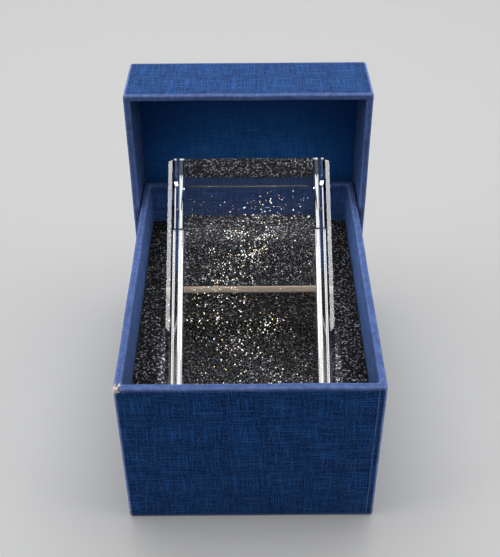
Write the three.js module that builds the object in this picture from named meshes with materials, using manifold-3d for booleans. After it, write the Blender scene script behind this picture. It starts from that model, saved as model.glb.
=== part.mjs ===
// Clear crystal block shown in its open presentation box.
// Millimetres, +Z up, the front of the box towards -Y.
// The base tray leans a little forward, because its rear end stands on the rim of the lid,
// and the lid stands on end behind it with its mouth towards the viewer.
import * as THREE from 'three';
import { ConvexGeometry } from 'three/addons/geometries/ConvexGeometry.js';
import { mergeVertices } from 'three/addons/utils/BufferGeometryUtils.js';
import Module from 'manifold-3d';

// Crystal block
const CRYSTAL_WIDTH = 50;
const CRYSTAL_THICKNESS = 50;
const CRYSTAL_LENGTH = 80;
const CRYSTAL_CHAMFER = 1.3;
const TOP_EDGE = 0.8;
const REAR_TOP_EDGE = 0.5;
const REAR_EDGE_ON_BACK = 2.8;
const REAR_EDGE_ON_SIDE = 2.94;
const CRYSTAL_LEAN = THREE.MathUtils.degToRad(38);

// Sheet stock
const BOARD = 1.2;
const PAPER = 0.2;
const GLUE_LINE = 0.3;

// Base tray: the room it leaves beside, behind and above the crystal
const SIDE_SPACE = 10.7;
const REAR_SPACE = 2.4;
const TOP_SPACE = 5;
const BASE_TURN_IN = 24;

// Lid, as deep as its walls are high when it lies on its panel
const LID_DEPTH = 24;
const LID_TURN_IN = 20;
const LID_FIT = 0.4;
const LID_OVERLAP = 17.8;

// Foam insert on its card, standing on card legs
const INSERT_DROP = 16.2;
const INSERT_FIT = 0.3;
const INSERT_CARD = 2;
const FOAM_THICKNESS = 11.4;
const LEG = 1.5;
const FLOOR_PAD = 1;
const POCKET_FIT = 0.5;
const SEAT_GAP = 0.3;

// A covered wall is paper, board and the turned-in paper
const SKIN = PAPER + GLUE_LINE;
const WALL = 2 * SKIN + BOARD;
const MITRE_SET_BACK = GLUE_LINE * Math.SQRT1_2;
const FLOOR = SKIN + BOARD + GLUE_LINE;
const PAD_TOP = FLOOR + FLOOR_PAD;

// The leaning crystal: its lower rear edge stands on the floor pad, its lower front edge
// touches the front wall. The place is that of the lower front edge before chamfering.
const LEAN_COS = Math.cos(CRYSTAL_LEAN);
const LEAN_SIN = Math.sin(CRYSTAL_LEAN);
const CRYSTAL_Y = WALL + SEAT_GAP - CRYSTAL_CHAMFER * LEAN_SIN;
const CRYSTAL_Z = PAD_TOP + SEAT_GAP + CRYSTAL_THICKNESS * LEAN_COS - CRYSTAL_CHAMFER * LEAN_SIN;
const CRYSTAL_REACH = CRYSTAL_THICKNESS * LEAN_SIN + CRYSTAL_LENGTH * LEAN_COS - CRYSTAL_CHAMFER * LEAN_SIN;

// The base holds the leaning crystal, and the crystal lying on the floor pad when it is shut
const BASE_WIDTH = CRYSTAL_WIDTH + 2 * (SIDE_SPACE + WALL);
const BASE_LENGTH = CRYSTAL_Y + CRYSTAL_REACH + REAR_SPACE + WALL;
const BASE_HEIGHT = PAD_TOP + CRYSTAL_THICKNESS + TOP_SPACE;
const LID_WIDTH = BASE_WIDTH + 2 * (LID_FIT + WALL);
const LID_LENGTH = BASE_LENGTH + 2 * (LID_FIT + WALL);

// Where the lid's rim crosses under the base, and the tilt that this gives the base
const LID_RIM_Y = BASE_LENGTH - LID_OVERLAP;
const LID_BACK_Y = LID_RIM_Y + LID_DEPTH;
const BASE_TILT = Math.atan2(WALL + SEAT_GAP, LID_RIM_Y);
const BASE_FRONT_Y = -BASE_HEIGHT * Math.sin(BASE_TILT);

// The insert inside the base
const FOAM_TOP = BASE_HEIGHT - INSERT_DROP;
const CARD_TOP = FOAM_TOP - FOAM_THICKNESS - GLUE_LINE;
const CARD_BOTTOM = CARD_TOP - INSERT_CARD;
const INSERT_SIDE = BASE_WIDTH / 2 - WALL - INSERT_FIT;
const INSERT_FRONT = WALL + INSERT_FIT;
const INSERT_REAR = BASE_LENGTH - WALL - INSERT_FIT;
const POCKET_SIDE = CRYSTAL_WIDTH / 2 + POCKET_FIT;

const PAPER_FINISH = { color: 0x27437f, roughness: 0.75, metalness: 0 };
const BOARD_FINISH = { color: 0x8f8577, roughness: 0.9, metalness: 0 };
const CARD_FINISH = { color: 0x8a6c52, roughness: 0.9, metalness: 0 };
const FOAM_FINISH = { color: 0x17181b, roughness: 0.95, metalness: 0 };
const CRYSTAL_FINISH = { color: 0xeaf1f4, roughness: 0.02, metalness: 0, transparent: true, opacity: 0.4 };

const wasm = await Module();
wasm.setup();

function part(name, geometry, finish) {
  const mesh = new THREE.Mesh(geometry, new THREE.MeshStandardMaterial(finish));
  mesh.name = name;
  return mesh;
}

// A plain slab between two opposite corners
function slab(low, high) {
  const geometry = new THREE.BoxGeometry(high[0] - low[0], high[1] - low[1], high[2] - low[2]);
  geometry.translate((low[0] + high[0]) / 2, (low[1] + high[1]) / 2, (low[2] + high[2]) / 2);
  return geometry;
}

// A straight strip along X with mitred ends. The profile's points are [inset, height], taken
// anticlockwise when the outer face is on the left, and the outer face lies at y = 0.
function mitredStrip(run, profile) {
  const positions = [];
  const index = [];
  for (const [inset, height] of profile) {
    const end = run / 2 - inset - MITRE_SET_BACK;
    positions.push(-end, inset, height);
    positions.push(end, inset, height);
  }
  for (let point = 0; point < profile.length; point += 1) {
    const next = (point + 1) % profile.length;
    index.push(2 * point, 2 * next, 2 * point + 1);
    index.push(2 * point + 1, 2 * next, 2 * next + 1);
  }
  const outline = profile.map(([inset, height]) => new THREE.Vector2(inset, height));
  for (const [a, b, c] of THREE.ShapeUtils.triangulateShape(outline, [])) {
    index.push(2 * a + 1, 2 * b + 1, 2 * c + 1);
    index.push(2 * c, 2 * b, 2 * a);
  }
  const geometry = new THREE.BufferGeometry();
  geometry.setAttribute('position', new THREE.Float32BufferAttribute(positions, 3));
  geometry.setIndex(index);
  return geometry;
}

// A shape drawn in Y and Z, made solid across X
function acrossX(points, halfWidth) {
  const shape = new THREE.Shape(points.map(([y, z]) => new THREE.Vector2(y, z)));
  const geometry = new THREE.ExtrudeGeometry(shape, { depth: 2 * halfWidth, bevelEnabled: false });
  const axes = new THREE.Matrix4().makeBasis(
    new THREE.Vector3(0, 1, 0),
    new THREE.Vector3(0, 0, 1),
    new THREE.Vector3(1, 0, 0),
  );
  geometry.applyMatrix4(axes);
  geometry.translate(-halfWidth, 0, 0);
  return geometry;
}

function toSolid(geometry) {
  const bare = geometry.clone();
  bare.deleteAttribute('normal');
  bare.deleteAttribute('uv');
  const merged = mergeVertices(bare);
  return new wasm.Manifold(new wasm.Mesh({
    numProp: 3,
    vertProperties: new Float32Array(merged.attributes.position.array),
    triVerts: new Uint32Array(merged.index.array),
  }));
}

function fromSolid(solid) {
  const mesh = solid.getMesh();
  const geometry = new THREE.BufferGeometry();
  geometry.setAttribute('position', new THREE.Float32BufferAttribute(mesh.vertProperties, 3));
  geometry.setIndex(Array.from(mesh.triVerts));
  return geometry;
}

function cut(body, tool) {
  return fromSolid(toSolid(body).subtract(toSolid(tool)));
}

function common(body, other) {
  return fromSolid(toSolid(body).intersect(toSolid(other)));
}

// One box tray: a floor board, four wall boards, a paper strip wrapped over each wall and turned
// in at the rim, and the sheet pasted over the outside of the floor.
function tray(prefix, names, width, length, height, turnIn) {
  const group = new THREE.Group();
  const outer = width / 2 - SKIN;
  const inner = outer - BOARD - GLUE_LINE;
  const top = height - SKIN;
  const rear = length - SKIN;
  const boards = [
    [names.floor, [-outer, SKIN, SKIN], [outer, rear, SKIN + BOARD]],
    [names.left, [-outer, SKIN, FLOOR], [BOARD - outer, rear, top]],
    [names.right, [outer - BOARD, SKIN, FLOOR], [outer, rear, top]],
    [names.front, [-inner, SKIN, FLOOR], [inner, SKIN + BOARD, top]],
    [names.rear, [-inner, rear - BOARD, FLOOR], [inner, rear, top]],
  ];
  for (const [name, low, high] of boards) {
    group.add(part(`${prefix}_${name}_board`, slab(low, high), BOARD_FINISH));
  }
  const profile = [
    [0, SKIN],
    [PAPER, SKIN],
    [PAPER, height - PAPER],
    [WALL - PAPER, height - PAPER],
    [WALL - PAPER, height - turnIn],
    [WALL, height - turnIn],
    [WALL, height],
    [0, height],
  ];
  const wraps = [
    [names.front, width, [0, 0], 0],
    [names.right, length, [width / 2, length / 2], Math.PI / 2],
    [names.rear, width, [0, length], Math.PI],
    [names.left, length, [-width / 2, length / 2], -Math.PI / 2],
  ];
  for (const [name, run, [x, y], turn] of wraps) {
    const wrap = part(`${prefix}_${name}_wrap`, mitredStrip(run, profile), PAPER_FINISH);
    wrap.position.set(x, y, 0);
    wrap.rotation.z = turn;
    group.add(wrap);
  }
  const sheet = slab([-width / 2, 0, 0], [width / 2, length, PAPER]);
  group.add(part(`${prefix}_${names.floor}_sheet`, sheet, PAPER_FINISH));
  return group;
}

// How far back the crystal's rear face lies at a height, clear of it by the seat gap
function behindCrystal(height) {
  const lowest = CRYSTAL_Z - CRYSTAL_THICKNESS * LEAN_COS;
  const up = (height - lowest) / LEAN_SIN;
  return CRYSTAL_Y + CRYSTAL_THICKNESS * LEAN_SIN + up * LEAN_COS + SEAT_GAP / LEAN_SIN;
}

// The pocket is open to the front, and its rear edge follows the leaning crystal
function insertFoam() {
  const bottom = CARD_TOP + GLUE_LINE;
  const body = slab([-INSERT_SIDE, INSERT_FRONT, bottom], [INSERT_SIDE, INSERT_REAR, FOAM_TOP]);
  const pocket = acrossX([
    [0, 0],
    [behindCrystal(0), 0],
    [behindCrystal(BASE_HEIGHT), BASE_HEIGHT],
    [0, BASE_HEIGHT],
  ], POCKET_SIDE);
  return cut(body, pocket);
}

// The card under the foam, cut out straight where the crystal leans on its upper edge
function insertCard() {
  const edge = behindCrystal(CARD_TOP);
  const outline = [
    [-INSERT_SIDE, INSERT_FRONT],
    [-POCKET_SIDE, INSERT_FRONT],
    [-POCKET_SIDE, edge],
    [POCKET_SIDE, edge],
    [POCKET_SIDE, INSERT_FRONT],
    [INSERT_SIDE, INSERT_FRONT],
    [INSERT_SIDE, INSERT_REAR],
    [-INSERT_SIDE, INSERT_REAR],
  ];
  const shape = new THREE.Shape(outline.map(([x, y]) => new THREE.Vector2(x, y)));
  const geometry = new THREE.ExtrudeGeometry(shape, { depth: INSERT_CARD, bevelEnabled: false });
  geometry.translate(0, 0, CARD_BOTTOM);
  return geometry;
}

function insert() {
  const group = new THREE.Group();
  const pad = slab([-INSERT_SIDE, INSERT_FRONT, FLOOR], [INSERT_SIDE, INSERT_REAR, PAD_TOP]);
  group.add(part('base_floor_pad', pad, FOAM_FINISH));
  group.add(part('insert_foam', insertFoam(), FOAM_FINISH));
  group.add(part('insert_card', insertCard(), CARD_FINISH));
  const foot = PAD_TOP + SEAT_GAP;
  const head = CARD_BOTTOM - SEAT_GAP;
  const rear = INSERT_REAR - LEG;
  const inner = INSERT_SIDE - LEG - SEAT_GAP;
  const legs = [
    ['left', [-INSERT_SIDE, INSERT_FRONT, foot], [LEG - INSERT_SIDE, INSERT_REAR, head]],
    ['right', [INSERT_SIDE - LEG, INSERT_FRONT, foot], [INSERT_SIDE, INSERT_REAR, head]],
    ['rear', [-inner, rear, foot], [inner, INSERT_REAR, head]],
  ];
  for (const [name, low, high] of legs) {
    group.add(part(`insert_${name}_leg`, slab(low, high), CARD_FINISH));
  }
  return group;
}

// A glass block with every edge chamfered: finer round its top end, and finest at the rear there,
// and its two long rear edges cut wider. It stands up along Z, with its front face at y = 0.
function crystal() {
  const half = [CRYSTAL_WIDTH / 2, CRYSTAL_THICKNESS / 2, CRYSTAL_LENGTH / 2];
  const points = [];
  for (let corner = 0; corner < 8; corner += 1) {
    const sign = [corner & 1, corner & 2, corner & 4].map((bit) => (bit ? 1 : -1));
    const topFace = sign[1] > 0 ? REAR_TOP_EDGE : TOP_EDGE;
    const endFace = sign[2] > 0 ? topFace : CRYSTAL_CHAMFER;
    const endSide = sign[2] > 0 ? TOP_EDGE : CRYSTAL_CHAMFER;
    const setBacks = [
      [0, CRYSTAL_CHAMFER, endSide],
      [CRYSTAL_CHAMFER, 0, endFace],
      [endSide, endFace, 0],
    ];
    for (const setBack of setBacks) {
      const at = half.map((size, axis) => sign[axis] * (size - setBack[axis]));
      points.push(new THREE.Vector3(...at));
    }
  }
  const outline = [
    [-half[0], -half[1]],
    [half[0], -half[1]],
    [half[0], half[1] - REAR_EDGE_ON_SIDE],
    [half[0] - REAR_EDGE_ON_BACK, half[1]],
    [REAR_EDGE_ON_BACK - half[0], half[1]],
    [-half[0], half[1] - REAR_EDGE_ON_SIDE],
  ];
  const shape = new THREE.Shape(outline.map(([x, y]) => new THREE.Vector2(x, y)));
  const bar = new THREE.ExtrudeGeometry(shape, { depth: CRYSTAL_LENGTH, bevelEnabled: false });
  bar.translate(0, 0, -half[2]);
  const geometry = common(new ConvexGeometry(points), bar);
  geometry.translate(0, half[1], half[2]);
  const mesh = part('crystal_block', geometry, CRYSTAL_FINISH);
  mesh.position.set(0, CRYSTAL_Y, CRYSTAL_Z);
  mesh.rotation.x = CRYSTAL_LEAN - Math.PI / 2;
  return mesh;
}

const baseNames = { floor: 'bottom', front: 'front', rear: 'rear', left: 'left', right: 'right' };
const base = tray('base', baseNames, BASE_WIDTH, BASE_LENGTH, BASE_HEIGHT, BASE_TURN_IN);
base.add(insert());
base.add(crystal());
base.rotation.x = BASE_TILT;

// The lid stands on its lower wall: its panel is at the back and its mouth faces forward
const lidNames = { floor: 'panel', front: 'lower', rear: 'upper', left: 'left', right: 'right' };
const lid = tray('lid', lidNames, LID_WIDTH, LID_LENGTH, LID_DEPTH, LID_TURN_IN);
const linerSide = LID_WIDTH / 2 - WALL - INSERT_FIT;
const linerFront = WALL + INSERT_FIT;
const liner = slab([-linerSide, linerFront, FLOOR], [linerSide, LID_LENGTH - linerFront, FLOOR + PAPER]);
lid.add(part('lid_liner', liner, PAPER_FINISH));
lid.rotation.x = Math.PI / 2;
lid.position.y = LID_BACK_Y;

// The origin lies under the middle of the whole display
const display = new THREE.Group();
display.add(base, lid);
display.position.y = -(BASE_FRONT_Y + LID_BACK_Y) / 2;

export default display;
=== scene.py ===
import math
import random

import bmesh
import bpy
from mathutils import Matrix, Vector, noise


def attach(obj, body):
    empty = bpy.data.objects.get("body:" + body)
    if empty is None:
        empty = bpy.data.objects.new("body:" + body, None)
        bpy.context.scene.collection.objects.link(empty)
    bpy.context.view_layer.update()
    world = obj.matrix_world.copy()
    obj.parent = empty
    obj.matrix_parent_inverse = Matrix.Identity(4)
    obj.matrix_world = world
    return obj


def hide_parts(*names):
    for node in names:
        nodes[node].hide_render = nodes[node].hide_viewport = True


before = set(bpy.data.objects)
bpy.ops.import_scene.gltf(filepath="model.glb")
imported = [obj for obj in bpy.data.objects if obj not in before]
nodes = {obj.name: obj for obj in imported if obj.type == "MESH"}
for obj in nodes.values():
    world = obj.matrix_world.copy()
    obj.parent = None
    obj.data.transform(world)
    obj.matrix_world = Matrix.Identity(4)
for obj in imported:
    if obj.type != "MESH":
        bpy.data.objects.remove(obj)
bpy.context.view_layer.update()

# Sizes in millimetres, the same as the solids have
MM = 0.001
CRYSTAL_WIDTH = 50
CRYSTAL_THICKNESS = 50
CRYSTAL_LENGTH = 80
CRYSTAL_CHAMFER = 1.3
REAR_EDGE_ON_BACK = 2.8
CRYSTAL_LEAN = math.radians(38)
LEAN_COS = math.cos(CRYSTAL_LEAN)
LEAN_SIN = math.sin(CRYSTAL_LEAN)
REAR_SPACE = 2.4
PAPER = 0.2
WALL = 2.2
FLOOR = 2.0
PAD_TOP = 3.0
SEAT_GAP = 0.3
BASE_WIDTH = 75.8
BASE_HEIGHT = 58
LID_DEPTH = 24
LID_OVERLAP = 17.8
LID_FIT = 0.4
INSERT_FIT = 0.3
FOAM_TOP = 41.8
FOAM_BOTTOM = 30.4
POCKET_SIDE = 25.5

CRYSTAL_Y = WALL + SEAT_GAP - CRYSTAL_CHAMFER * LEAN_SIN
CRYSTAL_Z = PAD_TOP + SEAT_GAP + CRYSTAL_THICKNESS * LEAN_COS - CRYSTAL_CHAMFER * LEAN_SIN
CRYSTAL_REACH = (CRYSTAL_THICKNESS - CRYSTAL_CHAMFER) * LEAN_SIN + CRYSTAL_LENGTH * LEAN_COS
BASE_LENGTH = CRYSTAL_Y + CRYSTAL_REACH + REAR_SPACE + WALL
LID_WIDTH = BASE_WIDTH + 2 * (LID_FIT + WALL)
LID_LENGTH = BASE_LENGTH + 2 * (LID_FIT + WALL)
LID_RIM_Y = BASE_LENGTH - LID_OVERLAP
LID_BACK_Y = LID_RIM_Y + LID_DEPTH
BASE_TILT = math.atan2(WALL + SEAT_GAP, LID_RIM_Y)
DISPLAY_Y = (BASE_HEIGHT * math.sin(BASE_TILT) - LID_BACK_Y) / 2
INSERT_SIDE = BASE_WIDTH / 2 - WALL - INSERT_FIT
INSERT_FRONT = WALL + INSERT_FIT
INSERT_REAR = BASE_LENGTH - WALL - INSERT_FIT

# From each tray's own millimetres to the display's metres
TO_METRES = Matrix.Scale(MM, 4)
BASE_PLACE = TO_METRES @ Matrix.Translation((0, DISPLAY_Y, 0)) @ Matrix.Rotation(BASE_TILT, 4, "X")
LID_PLACE = (
    TO_METRES
    @ Matrix.Translation((0, LID_BACK_Y + DISPLAY_Y, 0))
    @ Matrix.Rotation(math.radians(90), 4, "X")
)
CRYSTAL_PLACE = (
    BASE_PLACE
    @ Matrix.Translation((0, CRYSTAL_Y, CRYSTAL_Z))
    @ Matrix.Rotation(CRYSTAL_LEAN - math.radians(90), 4, "X")
)
CRYSTAL_FRONT = Matrix.Rotation(BASE_TILT, 3, "X") @ Vector((0, -LEAN_SIN, LEAN_COS))

# Colours of the finishes
NAVY = (0.0015, 0.011, 0.055, 1)
NAVY_THREAD = (0.0155, 0.101, 0.335, 1)
# Paler navy: worn folds, and also painted light and painted sheen on the walls
NAVY_WORN_AND_LIT = (0.25, 0.32, 0.64, 1)
TORN_BOARD = (0.62, 0.52, 0.4, 1)
LINER_PAINTED_SHADE = (0.004, 0.05, 0.19, 1)
LINER_PAINTED_LIGHT = (0.032, 0.18, 0.54, 1)
FOAM_BLACK = (0.0035, 0.0035, 0.0045, 1)
# Pale flecks of the foam: painted glints of its cell walls
FOAM_PAINTED_GLINT = (0.29, 0.29, 0.32, 1)
FOAM_BRIGHTER_PAINTED_GLINT = (0.8, 0.8, 0.82, 1)
GREYBOARD_TONES = ((0.2, 0.17, 0.14, 1), (0.33, 0.29, 0.24, 1))
CHIPBOARD_TONES = ((0.43, 0.325, 0.24, 1), (0.62, 0.5, 0.4, 1))
BACKING_TONES = ((0.34, 0.34, 0.36, 1), (0.8, 0.8, 0.82, 1))
CLEAR_GLASS = (0.99, 0.995, 1.0, 1)
SMEARED_GLASS = (0.955, 0.972, 0.97, 1)
FACE_MIRROR = (0.13, 0.13, 0.13, 1)
EDGE_MIRROR = (1, 1, 1, 1)
STAGE_GREY = (0.43, 0.43, 0.43, 1)
ROOM_GREY = (0.8, 0.82, 0.85, 1)

# Weave of the cover paper: scales in patterns to the millimetre, across and along a thread
FINE_THREAD = (3.9, 0.11)
THICK_THREAD = (5.2, 0.09)
KNOT_SCALE = 1.7
MOTTLE_SCALE = 0.22
EMBOSS_DEPTH = 0.06 * MM

# The corner where the cover paper has chipped off the board
CHIP_PLACE = BASE_PLACE @ Vector((-BASE_WIDTH / 2 + 0.5, 0.4, BASE_HEIGHT - 0.3))
CHIP_REACH = 2.6 * MM

# The place round which the liner is painted lighter, as painted light with painted shade towards its
# edges, and how near to it that light starts and is full
LINER_LIGHT_PLACE = LID_PLACE @ Vector((0, 0.42 * LID_LENGTH, FLOOR))
LINER_LIGHT_REACH = (0.056, 0.008)

# Where the foam is painted brighter: behind the block as painted light that the glass would
# focus there, and beside its lower end simply paler. Each pair is the place on an axis of the
# display where that starts and where it is full
BEHIND_Y = (0.026, 0.034)
BEHIND_X = (0.029, 0.024)
BESIDE_Y = (-0.008, -0.022)
BESIDE_X = (0.029, 0.0265)

# Depths behind the block's front face where a slanted face starts to count as a front or a rear
# long edge and where it is one, and the millimetres by which a rear edge is polished round
FRONT_EDGE_DEPTH = (0.003, 0.002)
REAR_EDGE_DEPTH = (0.0455, 0.0465)
EDGE_CROWN = 0.042
GLASS_IOR = 1.517


def put(tree, kind, inputs=(), **settings):
    """Adds a node. Each input is a plain value or the socket that feeds it."""
    made = tree.nodes.new("ShaderNode" + kind)
    for key, value in settings.items():
        setattr(made, key, value)
    for key, value in dict(inputs).items():
        if isinstance(value, bpy.types.NodeSocket):
            tree.links.new(value, made.inputs[key])
        else:
            made.inputs[key].default_value = value
    return made


def maths(tree, operation, *values):
    return put(tree, "Math", enumerate(values), operation=operation).outputs[0]


def times(tree, first, second):
    return maths(tree, "MULTIPLY", first, second)


def stretched(tree, vector, factors):
    inputs = {0: vector, 1: factors}
    return put(tree, "VectorMath", inputs, operation="MULTIPLY").outputs[0]


def distance(tree, vector, place):
    inputs = {0: vector, 1: place}
    return put(tree, "VectorMath", inputs, operation="DISTANCE").outputs["Value"]


def split(tree, vector):
    return put(tree, "SeparateXYZ", {0: vector}).outputs


def grain(tree, vector, scale, detail):
    inputs = {"Vector": vector, "Scale": scale, "Detail": detail}
    return put(tree, "TexNoise", inputs).outputs["Fac"]


def ranged(tree, value, low, high, to_low=0.0, to_high=1.0):
    inputs = {0: value, 1: low, 2: high, 3: to_low, 4: to_high}
    return put(tree, "MapRange", inputs, interpolation_type="SMOOTHSTEP").outputs[0]


def mixed(tree, share, first, second):
    inputs = {0: share, 6: first, 7: second}
    return put(tree, "Mix", inputs, data_type="RGBA").outputs[2]


def shaded(colour, factor):
    return [factor * part for part in colour[:3]] + [1]


def new_group(name, *outputs):
    """A node group that reads one vector and puts out masks or heights."""
    tree = bpy.data.node_groups.new(name, "ShaderNodeTree")
    tree.interface.new_socket("Vector", in_out="INPUT", socket_type="NodeSocketVector")
    for label in outputs:
        tree.interface.new_socket(label, in_out="OUTPUT", socket_type="NodeSocketFloat")
    at = tree.nodes.new("NodeGroupInput").outputs["Vector"]
    leave = tree.nodes.new("NodeGroupOutput").inputs
    return tree, at, leave


def in_millimetres(tree, vector):
    return stretched(tree, vector, (1000, 1000, 1000))


def threads_across(tree, at, axis, scale, detail):
    """A pattern drawn out into threads that are thin across an axis and long along the other."""
    across, along = scale
    factors = [along, along, 1]
    factors[axis] = across
    return grain(tree, stretched(tree, at, factors), 1.0, detail)


def linen_group():
    """Linen emboss on a map in millimetres: fine and thick threads both ways, and knots."""
    tree, at, leave = new_group("linen_emboss", "Weave", "Mottle")
    threads = []
    for axis in (0, 1):
        fine = ranged(tree, threads_across(tree, at, axis, FINE_THREAD, 2.0), 0.4, 0.62, 0.0, 0.5)
        thick = ranged(tree, threads_across(tree, at, axis, THICK_THREAD, 1.0), 0.56, 0.64)
        threads.append(maths(tree, "ADD", fine, times(tree, thick, 0.75)))
    crossed = times(tree, maths(tree, "ADD", *threads), 0.5)
    upper = maths(tree, "MAXIMUM", *threads)
    woven = maths(tree, "MULTIPLY_ADD", upper, 0.5, times(tree, crossed, 0.3))
    knots = ranged(tree, grain(tree, at, KNOT_SCALE, 1.0), 0.4, 0.78)
    weave = maths(tree, "MULTIPLY_ADD", knots, 0.45, times(tree, woven, 0.95))
    tree.links.new(weave, leave["Weave"])
    tree.links.new(grain(tree, at, MOTTLE_SCALE, 4.0), leave["Mottle"])
    return tree


def cells_group():
    """Open foam cells on object coordinates: broken strands and a few sparks, which glint. The
    glints are painted into the foam's colour.
    """
    tree, metres_at, leave = new_group("foam_cells", "Glint", "Height")
    at = in_millimetres(tree, metres_at)
    strand = grain(tree, stretched(tree, at, (0.8, 1.15, 1.15)), 1.0, 1.0)
    off_strand = maths(tree, "ABSOLUTE", maths(tree, "SUBTRACT", strand, 0.5))
    thin = ranged(tree, off_strand, 0.085, 0.015)
    broken = ranged(tree, grain(tree, at, 1.5, 1.0), 0.47, 0.6)
    cell = put(tree, "TexVoronoi", {"Vector": at, "Scale": 0.9})
    hue = put(tree, "SeparateColor", {0: cell.outputs["Color"]}).outputs
    bright = ranged(tree, hue[1], 0.0, 1.0, 0.12, 1.0)
    flash = times(tree, times(tree, thin, broken), bright)
    spot = ranged(tree, cell.outputs["Distance"], 0.3, 0.1)
    spark = times(tree, spot, ranged(tree, hue[0], 0.72, 0.8))
    tree.links.new(maths(tree, "MAXIMUM", flash, spark), leave["Glint"])
    tree.links.new(grain(tree, at, 1.3, 2.0), leave["Height"])
    return tree


def fibre_group():
    """Pressed fibres of raw board, on object coordinates."""
    tree, metres_at, leave = new_group("board_fibre", "Fibre", "Fleck")
    at = in_millimetres(tree, metres_at)
    tree.links.new(grain(tree, stretched(tree, at, (0.5, 2.2, 5.0)), 1.0, 5.0), leave["Fibre"])
    tree.links.new(ranged(tree, grain(tree, at, 2.4, 3.0), 0.6, 0.72), leave["Fleck"])
    return tree


LINEN = linen_group()
CELLS = cells_group()
FIBRE = fibre_group()


def new_material(name):
    material = bpy.data.materials.new(name)
    material.use_nodes = True
    tree = material.node_tree
    return material, tree, tree.nodes["Principled BSDF"]


def even(shader, values):
    """Sets what is the same all over a surface on the shader's own sockets."""
    for key, value in values.items():
        shader.inputs[key].default_value = value


def grouped(tree, group, vector):
    made = put(tree, "Group", node_tree=group)
    tree.links.new(vector, made.inputs["Vector"])
    return made.outputs


def bumped(tree, shader, height, strength, depth):
    inputs = {"Height": height, "Strength": strength, "Distance": depth}
    bump = put(tree, "Bump", inputs)
    tree.links.new(bump.outputs["Normal"], shader.inputs["Normal"])


def chipped(tree, object_at, tone):
    """Shows the board where the cover paper has come off, with a torn outline."""
    away = distance(tree, object_at, CHIP_PLACE)
    torn = times(tree, grain(tree, object_at, 1300.0, 4.0), 2.6 * CHIP_REACH)
    chip = ranged(tree, maths(tree, "ADD", away, torn), 1.84 * CHIP_REACH, 1.66 * CHIP_REACH)
    return mixed(tree, chip, tone, TORN_BOARD)


def cover_paper(name):
    """Embossed cover paper, paler on raised threads and on the worn folds, with painted light on the
    trays' inner walls and painted sheen on the lid's outer walls.
    """
    material, tree, shader = new_material(name)
    weave = grouped(tree, LINEN, put(tree, "UVMap").outputs["UV"])
    object_at = put(tree, "TexCoord").outputs["Object"]
    tone = mixed(tree, ranged(tree, weave["Mottle"], 0.3, 0.75, 0.0, 0.14), NAVY, NAVY_THREAD)
    raised = maths(tree, "POWER", weave["Weave"], 2.4)
    tone = mixed(tree, times(tree, raised, 1.75), tone, NAVY_THREAD)
    # This attribute holds the wear of the folds, the painted light on the turn-ins and the painted
    # sheen on the lid's outer walls
    wear_and_light = put(tree, "Attribute", attribute_name="wear_and_light").outputs["Fac"]
    rub = ranged(tree, grain(tree, object_at, 500.0, 4.0), 0.3, 0.8)
    pale_share = times(tree, wear_and_light, maths(tree, "ADD", times(tree, rub, 0.25), 0.3))
    tone = chipped(tree, object_at, mixed(tree, pale_share, tone, NAVY_WORN_AND_LIT))
    tree.links.new(tone, shader.inputs["Base Color"])
    rough = ranged(tree, weave["Weave"], 0.0, 1.0, 0.72, 0.55)
    tree.links.new(rough, shader.inputs["Roughness"])
    even(shader, {"Specular IOR Level": 0.03, "Sheen Weight": 0.05, "Sheen Roughness": 0.4})
    bumped(tree, shader, weave["Weave"], 1.0, EMBOSS_DEPTH)
    return material


def lining_paper(name):
    """Lining paper with a faint weave, painted lighter towards its middle and darker towards its
    edges: painted light and painted shade.
    """
    material, tree, shader = new_material(name)
    object_at = put(tree, "TexCoord").outputs["Object"]
    weave = grouped(tree, LINEN, put(tree, "UVMap").outputs["UV"])
    # worn is the share of painted light, full round the middle and gone towards the edges
    worn = ranged(tree, distance(tree, object_at, LINER_LIGHT_PLACE), *LINER_LIGHT_REACH)
    speckle = ranged(tree, weave["Mottle"], 0.2, 0.8, 0.7, 0.9)
    threads = ranged(tree, weave["Weave"], 0.0, 0.75, 0.3, 2.5)
    tone = mixed(tree, times(tree, times(tree, worn, speckle), threads), LINER_PAINTED_SHADE, LINER_PAINTED_LIGHT)
    tree.links.new(tone, shader.inputs["Base Color"])
    even(shader, {"Roughness": 0.7, "Specular IOR Level": 0.1})
    bumped(tree, shader, weave["Weave"], 0.3, EMBOSS_DEPTH)
    return material


def foam_finish(name):
    """Black foam with its glints painted as pale flecks, painted brighter still behind the block as
    the light the glass would focus there, and paler beside its lower end.
    """
    material, tree, shader = new_material(name)
    object_at = put(tree, "TexCoord").outputs["Object"]
    cells = grouped(tree, CELLS, object_at)
    at = split(tree, object_at)
    side = maths(tree, "ABSOLUTE", at[0])
    behind = times(tree, ranged(tree, at[1], *BEHIND_Y), ranged(tree, side, *BEHIND_X))
    beside = times(tree, ranged(tree, at[1], *BESIDE_Y), ranged(tree, side, *BESIDE_X))
    # pressed: where flecks and black are painted brighter, as painted light behind the block and
    # paler beside its lower end
    pressed = maths(tree, "MAXIMUM", behind, beside)
    bright = mixed(tree, pressed, FOAM_PAINTED_GLINT, FOAM_BRIGHTER_PAINTED_GLINT)
    deep = mixed(tree, pressed, FOAM_BLACK, shaded(FOAM_BLACK, 9))
    more = maths(tree, "ADD", times(tree, pressed, 0.4), 1.0)
    share = maths(tree, "MINIMUM", times(tree, cells["Glint"], more), 1.0)
    tree.links.new(mixed(tree, share, deep, bright), shader.inputs["Base Color"])
    tree.links.new(ranged(tree, cells["Glint"], 0.0, 0.6, 0.85, 0.3), shader.inputs["Roughness"])
    even(shader, {"Specular IOR Level": 0.1})
    bumped(tree, shader, cells["Height"], 0.7, 0.4 * MM)
    return material


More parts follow.
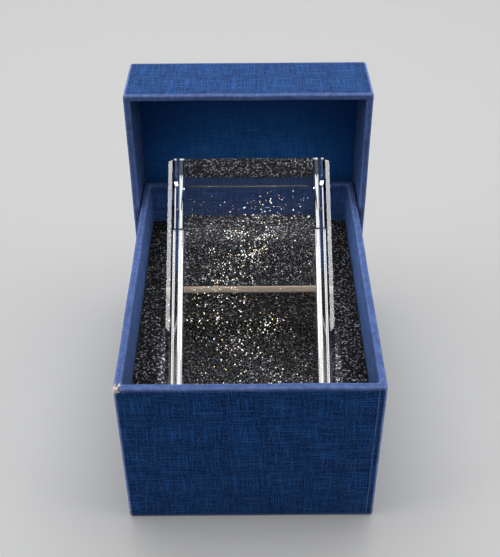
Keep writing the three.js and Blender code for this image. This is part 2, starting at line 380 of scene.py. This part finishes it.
def raw_board(name, tones, backing=None):
    """Raw board with cut edges. Its faces to left and right may have a backing's two tones."""
    material, tree, shader = new_material(name)
    coordinates = put(tree, "TexCoord").outputs
    fibre = grouped(tree, FIBRE, coordinates["Object"])
    streaks = ranged(tree, fibre["Fibre"], 0.3, 0.7)
    tone = mixed(tree, streaks, *tones)
    if backing:
        sideways = maths(tree, "ABSOLUTE", split(tree, coordinates["Normal"])[0])
        tone = mixed(tree, ranged(tree, sideways, 0.6, 0.8), tone, mixed(tree, streaks, *backing))
    tone = mixed(tree, times(tree, fibre["Fleck"], 0.5), tone, shaded(tones[0], 0.5))
    tree.links.new(tone, shader.inputs["Base Color"])
    even(shader, {"Roughness": 0.9})
    bumped(tree, shader, fibre["Fibre"], 0.5, 0.15 * MM)
    return material


def edge_crown(tree, object_at):
    """How far a slightly round rear long edge falls away from its middle line."""
    half_edge = REAR_EDGE_ON_BACK * MM / 2
    across = maths(tree, "ABSOLUTE", split(tree, object_at)[0])
    off_middle = maths(tree, "SUBTRACT", across, CRYSTAL_WIDTH * MM / 2 - half_edge)
    off_share = maths(tree, "DIVIDE", off_middle, half_edge)
    return times(tree, times(tree, off_share, off_share), -EDGE_CROWN * MM)


def polished_glass(name):
    """Optical glass, a touch greener where it was wiped less.

    Its front long edges mirror more, and its rear long edges are polished slightly round.
    """
    material, tree, shader = new_material(name)
    coordinates = put(tree, "TexCoord").outputs
    object_at = coordinates["Object"]
    smear = grain(tree, stretched(tree, object_at, (60, 160, 160)), 1.0, 3.0)
    tone = mixed(tree, ranged(tree, smear, 0.35, 0.75), CLEAR_GLASS, SMEARED_GLASS)
    tree.links.new(tone, shader.inputs["Base Color"])
    aside = maths(tree, "ABSOLUTE", split(tree, coordinates["Normal"])[0])
    slanted = times(tree, ranged(tree, aside, 0.3, 0.5), ranged(tree, aside, 0.95, 0.85))
    inputs = {0: object_at, 1: CRYSTAL_FRONT}
    depth = put(tree, "VectorMath", inputs, operation="DOT_PRODUCT").outputs["Value"]
    face_depth = CRYSTAL_FRONT.dot(CRYSTAL_PLACE @ Vector((0, 0, 0)))
    front_edge, rear_edge = [
        times(tree, slanted, ranged(tree, depth, face_depth - start, face_depth - full))
        for start, full in (FRONT_EDGE_DEPTH, REAR_EDGE_DEPTH)
    ]
    bumped(tree, shader, times(tree, edge_crown(tree, object_at), rear_edge), 1.0, 1.0)
    tint = mixed(tree, front_edge, FACE_MIRROR, EDGE_MIRROR)
    tree.links.new(tint, shader.inputs["Specular Tint"])
    even(shader, {"Roughness": 0.0, "IOR": GLASS_IOR, "Transmission Weight": 1.0})
    return material


def engraved_finish(name):
    """Tiny frosted fractures that scatter light, each with its own tint, which also glows as painted
    light.
    """
    material, tree, shader = new_material(name)
    tint = put(tree, "Attribute", attribute_name="tint").outputs["Color"]
    tree.links.new(tint, shader.inputs["Base Color"])
    # The points glow in their tint: painted light, for they are no lamps
    tree.links.new(tint, shader.inputs["Emission Color"])
    even(shader, {"Emission Strength": 1.5, "Roughness": 0.6})
    return material


linen_paper = cover_paper("linen_paper")
liner_paper = lining_paper("liner_paper")
black_foam = foam_finish("black_foam")
greyboard = raw_board("greyboard", GREYBOARD_TONES)
chipboard = raw_board("chipboard", CHIPBOARD_TONES, BACKING_TONES)
crystal_glass = polished_glass("crystal_glass")
engraving = engraved_finish("engraving")


def added(name, bm, material):
    """Makes a shape an object of the scene."""
    mesh = bpy.data.meshes.new(name)
    bm.to_mesh(mesh)
    bm.free()
    mesh.materials.append(material)
    piece = bpy.data.objects.new(name, mesh)
    bpy.context.scene.collection.objects.link(piece)
    return piece


def finished(name, bm, place, material, body, slot, *replaced):
    """Puts a shape made in a tray's own millimetres in its place and lets it ride."""
    bmesh.ops.transform(bm, matrix=place, verts=bm.verts)
    piece = added(name, bm, material)
    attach(piece, body)
    if replaced:
        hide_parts(*replaced)
    return piece


# The map of each axis is shifted, so that sides that meet don't repeat each other
MAP_SHIFT = 7


def paper_map(bm):
    """A flat map in millimetres on every face, laid along the threads."""
    layer = bm.loops.layers.uv.new("UVMap")
    bm.normal_update()
    for face in bm.faces:
        size = [abs(part) for part in face.normal]
        across = size.index(max(size))
        first, second = [axis for axis in range(3) if axis != across]
        for loop in face.loops:
            loop[layer].uv = (loop.vert.co[first] + MAP_SHIFT * across, loop.vert.co[second])


# Folds of the covers
CORNER = 0.9
RIM_ROUND = 0.75
EDGE_ROUND = 0.7
BASE_TURN_IN = 24
LID_TURN_IN = 21.85
QUARTER_TURN = [math.radians(90 * part / 4) for part in range(5)]
CORNER_STEPS = 5
SIDE_CUTS = 23
WALL_STEPS = 8
TURN_IN_STEPS = 4

# How worn the folds are, and how far from a fold the wear reaches
RUB_REACH = 0.8
EDGE_WORN = 0.5
RIM_WORN = 0.6
RIM_OUTER_WORN = 0.4
RIM_INNER_WORN = 0.15
CORNER_WORN = 1.3

# Small waves of the glued paper: their height and width, and a shift that parts the directions
WAVE = 0.12
WAVE_WIDTH = 17
WAVE_SHIFTS = (Vector((9.3, -1.5, -7.9)), Vector((0, 0, 0)), Vector((6.3, 0.2, -2.7)))


def tray_profile(height, turn_in, painted_wall_sheen, painted_turn_in_light):
    """Steps of inset, level and paleness from the floor's edge, up the wall, over the rim and in:
    wear, with painted sheen on the wall and painted light on the turn-in.
    """
    steps = []
    for turn in QUARTER_TURN[1:]:
        inset = EDGE_ROUND * (1 - math.sin(turn))
        level = EDGE_ROUND * (1 - math.cos(turn))
        steps.append((inset, level, EDGE_WORN))
    wall_low = EDGE_ROUND + RUB_REACH
    wall_high = height - RIM_ROUND - RUB_REACH
    for part in range(WALL_STEPS + 1):
        steps.append((0, wall_low + (wall_high - wall_low) * part / WALL_STEPS, painted_wall_sheen))
    for turn in QUARTER_TURN:
        inset = RIM_ROUND * (1 - math.cos(turn))
        level = height - RIM_ROUND * (1 - math.sin(turn))
        steps.append((inset, level, RIM_WORN + RIM_OUTER_WORN * math.sin(2 * turn)))
    for turn in QUARTER_TURN:
        inset = WALL - RIM_ROUND * (1 - math.sin(turn))
        level = height - RIM_ROUND * (1 - math.cos(turn))
        steps.append((inset, level, RIM_WORN + RIM_INNER_WORN * math.sin(2 * turn)))
    fall = turn_in - RIM_ROUND - RUB_REACH
    for part in range(TURN_IN_STEPS + 1):
        steps.append((WALL, wall_high - fall * part / TURN_IN_STEPS, painted_turn_in_light))
    return steps


def tray_floor(width, length):
    """The flat sheet under a tray's floor, with round corners and points along its sides."""
    bm = bmesh.new()
    made = bmesh.ops.create_grid(bm, x_segments=1, y_segments=1, size=0.5)
    size = (width - 2 * EDGE_ROUND, length - 2 * EDGE_ROUND, 1)
    bmesh.ops.scale(bm, vec=size, verts=made["verts"])
    bmesh.ops.translate(bm, vec=(0, length / 2, 0), verts=made["verts"])
    bmesh.ops.bevel(
        bm, geom=bm.verts[:], offset=CORNER, offset_type="OFFSET", segments=CORNER_STEPS,
        profile=0.5, affect="VERTICES", material=-1,
    )
    sides = [edge for edge in bm.edges if edge.calc_length() > 10 * CORNER]
    bmesh.ops.subdivide_edges(bm, edges=sides, cuts=SIDE_CUTS)
    return bm


def extruded_rim(bm, rim):
    """Extrudes a rim of edges. Returns the new points and the new rim."""
    grown = bmesh.ops.extrude_edge_only(bm, edges=rim)["geom"]
    verts = [part for part in grown if isinstance(part, bmesh.types.BMVert)]
    edges = [part for part in grown if isinstance(part, bmesh.types.BMEdge) and part.is_boundary]
    return verts, edges


def tray_cover(width, length, height, turn_in, painted_wall_sheen, painted_turn_in_light, seed):
    """Cover paper of one tray: the floor's outside, the walls, the rim and the turn-in."""
    bm = tray_floor(width, length)
    wear_and_light = bm.verts.layers.float.new("wear_and_light")
    to_middle = Matrix.Translation((0, -length / 2, 0))
    rim = bm.edges[:]
    inset, level = EDGE_ROUND, 0
    for next_inset, next_level, worn in tray_profile(height, turn_in, painted_wall_sheen, painted_turn_in_light):
        if (next_inset, next_level) == (inset, level):
            continue
        verts, rim = extruded_rim(bm, rim)
        narrower = (width / 2 - next_inset) / (width / 2 - inset)
        shorter = (length - 2 * next_inset) / (length - 2 * inset)
        bmesh.ops.scale(bm, vec=(narrower, shorter, 1), verts=verts, space=to_middle)
        bmesh.ops.translate(bm, vec=(0, 0, next_level - level), verts=verts)
        for vert in verts:
            vert[wear_and_light] = worn
        inset, level = next_inset, next_level
    bmesh.ops.recalc_face_normals(bm, faces=bm.faces)
    for vert in bm.verts:
        near_side = abs(vert.co.x) > width / 2 - CORNER
        near_end = min(vert.co.y, length - vert.co.y) < CORNER
        if near_side and near_end:
            vert[wear_and_light] = max(vert[wear_and_light], CORNER_WORN)
    paper_map(bm)
    for vert in bm.verts:
        share = vert.co.z / height
        at = Vector((vert.co.x / WAVE_WIDTH, vert.co.y / WAVE_WIDTH, seed))
        vert.co += Vector([noise.noise(at + shift) for shift in WAVE_SHIFTS]) * WAVE * share
    return bm


def paper_thickness(piece):
    """Gives a cover its thickness inwards and smooth folds."""
    solid = piece.modifiers.new("paper", "SOLIDIFY")
    solid.thickness = PAPER * MM
    solid.offset = -1
    smooth = piece.modifiers.new("even_faces", "WEIGHTED_NORMAL")
    smooth.keep_sharp = True
    for face in piece.data.polygons:
        face.use_smooth = True


# The base's turn-in is painted lighter: painted light on its inner walls
base_tray = tray_cover(
    BASE_WIDTH, BASE_LENGTH, BASE_HEIGHT, BASE_TURN_IN, painted_wall_sheen=0, painted_turn_in_light=0.28, seed=1.5,
)
base_cover = finished(
    "base_cover", base_tray, BASE_PLACE, linen_paper,
    "base", "cover_paper", "base_front_wrap", "base_rear_wrap", "base_left_wrap", "base_right_wrap",
    "base_bottom_sheet",
)
paper_thickness(base_cover)

# The lid's outer walls get painted sheen and its turn-in painted light
lid_tray = tray_cover(
    LID_WIDTH, LID_LENGTH, LID_DEPTH, LID_TURN_IN, painted_wall_sheen=0.11, painted_turn_in_light=0.2, seed=4.5,
)
# The lid stands on this wall, so nothing bulges through it
for vert in lid_tray.verts:
    vert.co.y = max(0, vert.co.y)
lid_cover = finished(
    "lid_cover", lid_tray, LID_PLACE, linen_paper,
    "lid", "cover_paper", "lid_lower_wrap", "lid_upper_wrap", "lid_left_wrap", "lid_right_wrap",
    "lid_panel_sheet",
)
paper_thickness(lid_cover)


def slab(low, high, round_by):
    """A slab between two corners with its edges eased."""
    bm = bmesh.new()
    middle = [(a + b) / 2 for a, b in zip(low, high)]
    size = [b - a for a, b in zip(low, high)]
    place = Matrix.Translation(middle) @ Matrix.Diagonal((*size, 1))
    bmesh.ops.create_cube(bm, size=1, matrix=place)
    bmesh.ops.bevel(
        bm, geom=bm.edges[:], offset=round_by, offset_type="OFFSET", segments=2, profile=0.5,
        affect="EDGES", material=-1,
    )
    return bm


def cut(bm, place, across, near):
    """Adds edges where a plane crosses a shape. Points that are nearer than this count as on it."""
    whole = bm.verts[:] + bm.edges[:] + bm.faces[:]
    bmesh.ops.bisect_plane(bm, geom=whole, dist=near, plane_co=place, plane_no=across)


LINER_FIT = 0.1
LINER_ROUND = 0.06


def liner_sheet():
    """The paper glued to the inside of the lid's panel."""
    side = LID_WIDTH / 2 - WALL - LINER_FIT
    near_end = WALL + LINER_FIT
    far_end = LID_LENGTH - WALL - LINER_FIT
    bm = slab((-side, near_end, FLOOR), (side, far_end, FLOOR + PAPER), LINER_ROUND)
    paper_map(bm)
    return bm


finished("lid_liner_sheet", liner_sheet(), LID_PLACE, liner_paper, "lid", "cover_paper", "lid_liner")

# The lap of the cover at the right of the base's front
LAP_FREE_EDGE = BASE_WIDTH / 2 - 2.3
LAP_FAR_EDGE = BASE_WIDTH / 2 - 0.95
LAP_PROUD = 0.12
LAP_SUNK = 0.15
LAP_LOW = 0.9
LAP_HIGH = BASE_HEIGHT - 1.1
LAP_ROUND = 0.05
LAP_WORN_TO = 0.2
LAP_CUTS = (0.12, 0.3)
LAP_MERGE = 0.001


def cover_lap():
    """The end of the cover's strip, lapped over the front and rubbed along its free edge."""
    bm = slab((LAP_FREE_EDGE, -LAP_PROUD, LAP_LOW), (LAP_FAR_EDGE, LAP_SUNK, LAP_HIGH), LAP_ROUND)
    for line in LAP_CUTS:
        cut(bm, (LAP_FREE_EDGE + line, 0, 0), (1, 0, 0), LAP_MERGE)
    wear_and_light = bm.verts.layers.float.new("wear_and_light")
    for vert in bm.verts:
        vert[wear_and_light] = 1.0 if vert.co.x < LAP_FREE_EDGE + LAP_WORN_TO else 0.0
    paper_map(bm)
    return bm


finished("base_cover_lap", cover_lap(), BASE_PLACE, linen_paper, "base", "cover_paper")


def behind_crystal(height):
    """How far back the crystal's rear face lies at a height, clear of it by the seat gap."""
    up = (height - CRYSTAL_Z + CRYSTAL_THICKNESS * LEAN_COS) / LEAN_SIN
    return CRYSTAL_Y + CRYSTAL_THICKNESS * LEAN_SIN + up * LEAN_COS + SEAT_GAP / LEAN_SIN


# The dip that the block presses in the foam, how wide it is and how its sides and rear rise
FOAM_DIP = 2.9
DIP_SIDE = 30
DIP_SLOPE = 6
DIP_BACK = 12
FOAM_CELL = 0.62
FOAM_MERGE = 0.05
FOAM_NEAR = 0.1

# Pits and bumps of the foam: how deep they are and how far the surface sinks for them
FOAM_PITS = 0.3
FOAM_SINK = 0.15
PAD_PITS = 0.2
PAD_SINK = 0.12
PIT_SCALE = 0.9
FINE_PIT_SCALE = 2.3
FINE_PIT_SHARE = 0.6
FINE_PIT_SHIFT = Vector((5, 3, 1))
PAD_ROUND = 0.3
PAD_CUTS = 60
PAD_NEAR = 0.01


def roughened(vert, amount):
    """A foam surface is never flat: open cells leave small pits and bumps."""
    at = vert.co * PIT_SCALE
    fine = noise.noise(at * FINE_PIT_SCALE + FINE_PIT_SHIFT)
    return amount * (noise.noise(at) + FINE_PIT_SHARE * fine)


def foam_sheet(edge):
    """The insert's top with its pocket, which reaches from the front back to this edge."""
    bm = bmesh.new()
    wide = 2 * INSERT_SIDE
    deep = INSERT_REAR - INSERT_FRONT
    made = bmesh.ops.create_grid(
        bm, x_segments=round(wide / FOAM_CELL), y_segments=round(deep / FOAM_CELL), size=0.5,
    )
    bmesh.ops.scale(bm, vec=(wide, deep, 1), verts=made["verts"])
    bmesh.ops.translate(bm, vec=(0, INSERT_FRONT + deep / 2, FOAM_TOP), verts=made["verts"])
    for side in (-POCKET_SIDE, POCKET_SIDE):
        cut(bm, (side, 0, 0), (1, 0, 0), FOAM_MERGE)
    cut(bm, (0, edge, 0), (0, 1, 0), FOAM_MERGE)
    pocket = []
    for face in bm.faces:
        middle = face.calc_center_median()
        if abs(middle.x) < POCKET_SIDE and middle.y < edge:
            pocket.append(face)
    bmesh.ops.delete(bm, geom=pocket, context="FACES")
    return bm


def foam_insert():
    """The foam with its pocket, pressed down behind the block that leans on it."""
    edge = behind_crystal(FOAM_TOP)
    bm = foam_sheet(edge)
    top = bm.verts[:]
    low, low_rim = extruded_rim(bm, [part for part in bm.edges if part.is_boundary])
    for vert in low:
        vert.co.z = FOAM_BOTTOM
        if abs(vert.co.x) < POCKET_SIDE + FOAM_NEAR and abs(vert.co.y - edge) < FOAM_NEAR:
            vert.co.y = behind_crystal(FOAM_BOTTOM)
    bmesh.ops.contextual_create(bm, geom=low_rim)
    for vert in top:
        pressed = 0.0
        if vert.co.y > edge - FOAM_NEAR:
            side = max(0.0, min(1.0, (DIP_SIDE - abs(vert.co.x)) / DIP_SLOPE))
            pressed = FOAM_DIP * side * side * (3 - 2 * side)
            if abs(vert.co.x) < POCKET_SIDE + FOAM_NEAR:
                back = max(0.0, 1 - (vert.co.y - edge) / DIP_BACK)
                vert.co.y -= pressed * back * LEAN_COS / LEAN_SIN
        vert.co.z += roughened(vert, FOAM_PITS) - FOAM_SINK - pressed
    bmesh.ops.recalc_face_normals(bm, faces=bm.faces)
    return bm


foam = finished("foam_insert", foam_insert(), BASE_PLACE, black_foam, "base", "foam", "insert_foam")


def foam_pad():
    """The thin foam on the base's floor, pitted on top."""
    bm = slab((-INSERT_SIDE, INSERT_FRONT, FLOOR), (INSERT_SIDE, INSERT_REAR, PAD_TOP), PAD_ROUND)
    sides = [edge for edge in bm.edges if edge.calc_length() > 10 * PAD_ROUND]
    bmesh.ops.subdivide_edges(bm, edges=sides, cuts=PAD_CUTS, use_grid_fill=True)
    for vert in bm.verts:
        if vert.co.z > PAD_TOP - PAD_NEAR:
            vert.co.z += roughened(vert, PAD_PITS) - PAD_SINK
    return bm


pad = finished("floor_pad", foam_pad(), BASE_PLACE, black_foam, "base", "foam", "base_floor_pad")

# Points inside the glass: a swirl up the block, a haze all through it and a few clusters
POINT_SEED = 11
SWIRL_POINTS = 430
SWIRL_TURNS = 0.8
SWIRL_START = 2.4
SWIRL_WIDE = 10
SWIRL_DEEP = 8
SWIRL_LOW = 10
SWIRL_RISE = 62
SWIRL_SPREAD_X = 4.6
SWIRL_SPREAD_Y = 4
HAZE_POINTS = 330
HAZE_BOX = ((-19, 19), (8, 42), (8, 72))
CLUSTERS = 4
CLUSTER_POINTS = 34
CLUSTER_BOX = ((-12, 12), (16, 34), (24, 64))
CLUSTER_SPREAD = 2.0
POINT_SIDE = 22
POINT_LOW = 5
POINT_HIGH = 76
POINT_SMALLEST = 0.09
POINT_GROWTH = 0.15
POINT_DIMMEST = 0.45

# Tints of the points, each with the draw above which it is used
WHITE_TINT = (1, 0.99, 0.97)
GOLD_TINT = (1, 0.72, 0.38)
BLUE_TINT = (0.72, 0.84, 1)
GOLD_FROM = 0.79
BLUE_FROM = 0.74


def point_places(draw):
    """Draws where the points lie, in the crystal's own millimetres."""
    points = []
    for _ in range(SWIRL_POINTS):
        along = draw.random()
        swing = 2 * math.pi * SWIRL_TURNS * along + SWIRL_START
        points.append((
            SWIRL_WIDE * math.sin(swing) + draw.gauss(0, SWIRL_SPREAD_X),
            CRYSTAL_THICKNESS / 2 + SWIRL_DEEP * math.cos(swing) + draw.gauss(0, SWIRL_SPREAD_Y),
            SWIRL_LOW + SWIRL_RISE * along,
        ))
    for _ in range(HAZE_POINTS):
        points.append(tuple(draw.uniform(*ends) for ends in HAZE_BOX))
    for _ in range(CLUSTERS):
        middle = tuple(draw.uniform(*ends) for ends in CLUSTER_BOX)
        for _ in range(CLUSTER_POINTS):
            points.append(tuple(part + draw.gauss(0, CLUSTER_SPREAD) for part in middle))
    return points


def engraved_points():
    """A drift of fine points inside the glass, each a tiny ball with a tint and a brightness."""
    draw = random.Random(POINT_SEED)
    bm = bmesh.new()
    tint = bm.verts.layers.float_color.new("tint")
    for x, y, z in point_places(draw):
        radius = POINT_SMALLEST + POINT_GROWTH * draw.random() ** 2
        kind = draw.random()
        level = POINT_DIMMEST + (1 - POINT_DIMMEST) * draw.random()
        inside = (max(-POINT_SIDE, min(POINT_SIDE, x)), y, max(POINT_LOW, min(POINT_HIGH, z)))
        made = bmesh.ops.create_icosphere(
            bm, subdivisions=1, radius=radius, matrix=Matrix.Translation(inside),
        )
        colour = WHITE_TINT
        if kind > GOLD_FROM:
            colour = GOLD_TINT
        elif kind > BLUE_FROM:
            colour = BLUE_TINT
        for vert in made["verts"]:
            vert[tint] = shaded(colour, level)
    return bm


finished("engraved_points", engraved_points(), CRYSTAL_PLACE, engraving, "crystal", "crystal")

# Finishes of the solids
for name, node in nodes.items():
    node.data.materials.clear()
    if name == "crystal_block":
        node.data.materials.append(crystal_glass)
        node.visible_shadow = False
    elif name.startswith("insert_"):
        node.data.materials.append(chipboard)
    elif name.endswith("_board"):
        node.data.materials.append(greyboard)
    else:
        node.data.materials.append(linen_paper)

STAGE_SIZE = 6


def pale_floor():
    """A plain pale floor, flat and far wider than the display."""
    material, _, shader = new_material("pale_floor")
    even(shader, {"Base Color": STAGE_GREY, "Roughness": 0.8})
    bm = bmesh.new()
    bmesh.ops.create_grid(bm, x_segments=1, y_segments=1, size=0.5)
    bmesh.ops.scale(bm, vec=(STAGE_SIZE, STAGE_SIZE, 1), verts=bm.verts)
    floor = added("floor", bm, material)


pale_floor()

LIGHTS_AIM = Vector((0, 0, 0.05))


def soft_light(name, place, size, energy):
    """A rectangular light that looks at the display."""
    data = bpy.data.lights.new(name, "AREA")
    data.shape = "RECTANGLE"
    data.size, data.size_y = size
    data.energy = energy
    lamp = bpy.data.objects.new(name, data)
    lamp.location = place
    lamp.rotation_euler = (LIGHTS_AIM - Vector(place)).to_track_quat("-Z", "Y").to_euler()
    bpy.context.scene.collection.objects.link(lamp)


soft_light("front_top_soft", (0, -0.55, 0.95), (0.7, 0.3), 0.63)
soft_light("overhead_soft", (0, 0.1, 1.0), (1.2, 0.8), 11.5)
soft_light("back_soft", (0, 1.0, 0.85), (1.2, 0.6), 6.5)
soft_light("left_strip", (-0.884, 0.178, 0.13), (0.24, 0.2), 1.05)
soft_light("right_strip", (0.884, 0.178, 0.13), (0.24, 0.2), 1.05)
soft_light("left_soft", (-1.2, -0.25, 0.45), (0.6, 0.6), 6.2)
soft_light("right_soft", (1.2, -0.25, 0.45), (0.6, 0.6), 4.6)
soft_light("front_card", (0, -0.62, 0.52), (0.4, 0.08), 0.085)

ROOM_STRENGTH = 0.12

scene = bpy.context.scene
world = bpy.data.worlds.new("studio")
world.use_nodes = True
even(world.node_tree.nodes["Background"], {"Color": ROOM_GREY, "Strength": ROOM_STRENGTH})
scene.world = world
scene.view_settings.view_transform = "Standard"

# The photo's camera: pixels for its picture, metres for its place and degrees for its turns
PHOTO_HEIGHT = 557
FOCAL_PIXELS = 903
MIDDLE_RIGHT = 0.9
MIDDLE_UP = -78.5
SENSOR = 36
CAMERA_PLACE = (0, -0.2288, 0.2406)
CAMERA_NEAR = 0.01
CAMERA_DIP = 34.4
CAMERA_ROLL = -0.4

camera_data = bpy.data.cameras.new("camera")
camera_data.sensor_width = SENSOR
camera_data.lens = FOCAL_PIXELS * SENSOR / PHOTO_HEIGHT
camera_data.shift_x = MIDDLE_RIGHT / PHOTO_HEIGHT
camera_data.shift_y = MIDDLE_UP / PHOTO_HEIGHT
camera_data.clip_start = CAMERA_NEAR
camera = bpy.data.objects.new("camera", camera_data)
camera.location = CAMERA_PLACE
dip = Matrix.Rotation(math.radians(90 - CAMERA_DIP), 4, "X")
roll = Matrix.Rotation(math.radians(CAMERA_ROLL), 4, "Z")
camera.rotation_euler = (dip @ roll).to_euler()
scene.collection.objects.link(camera)
scene.camera = camera
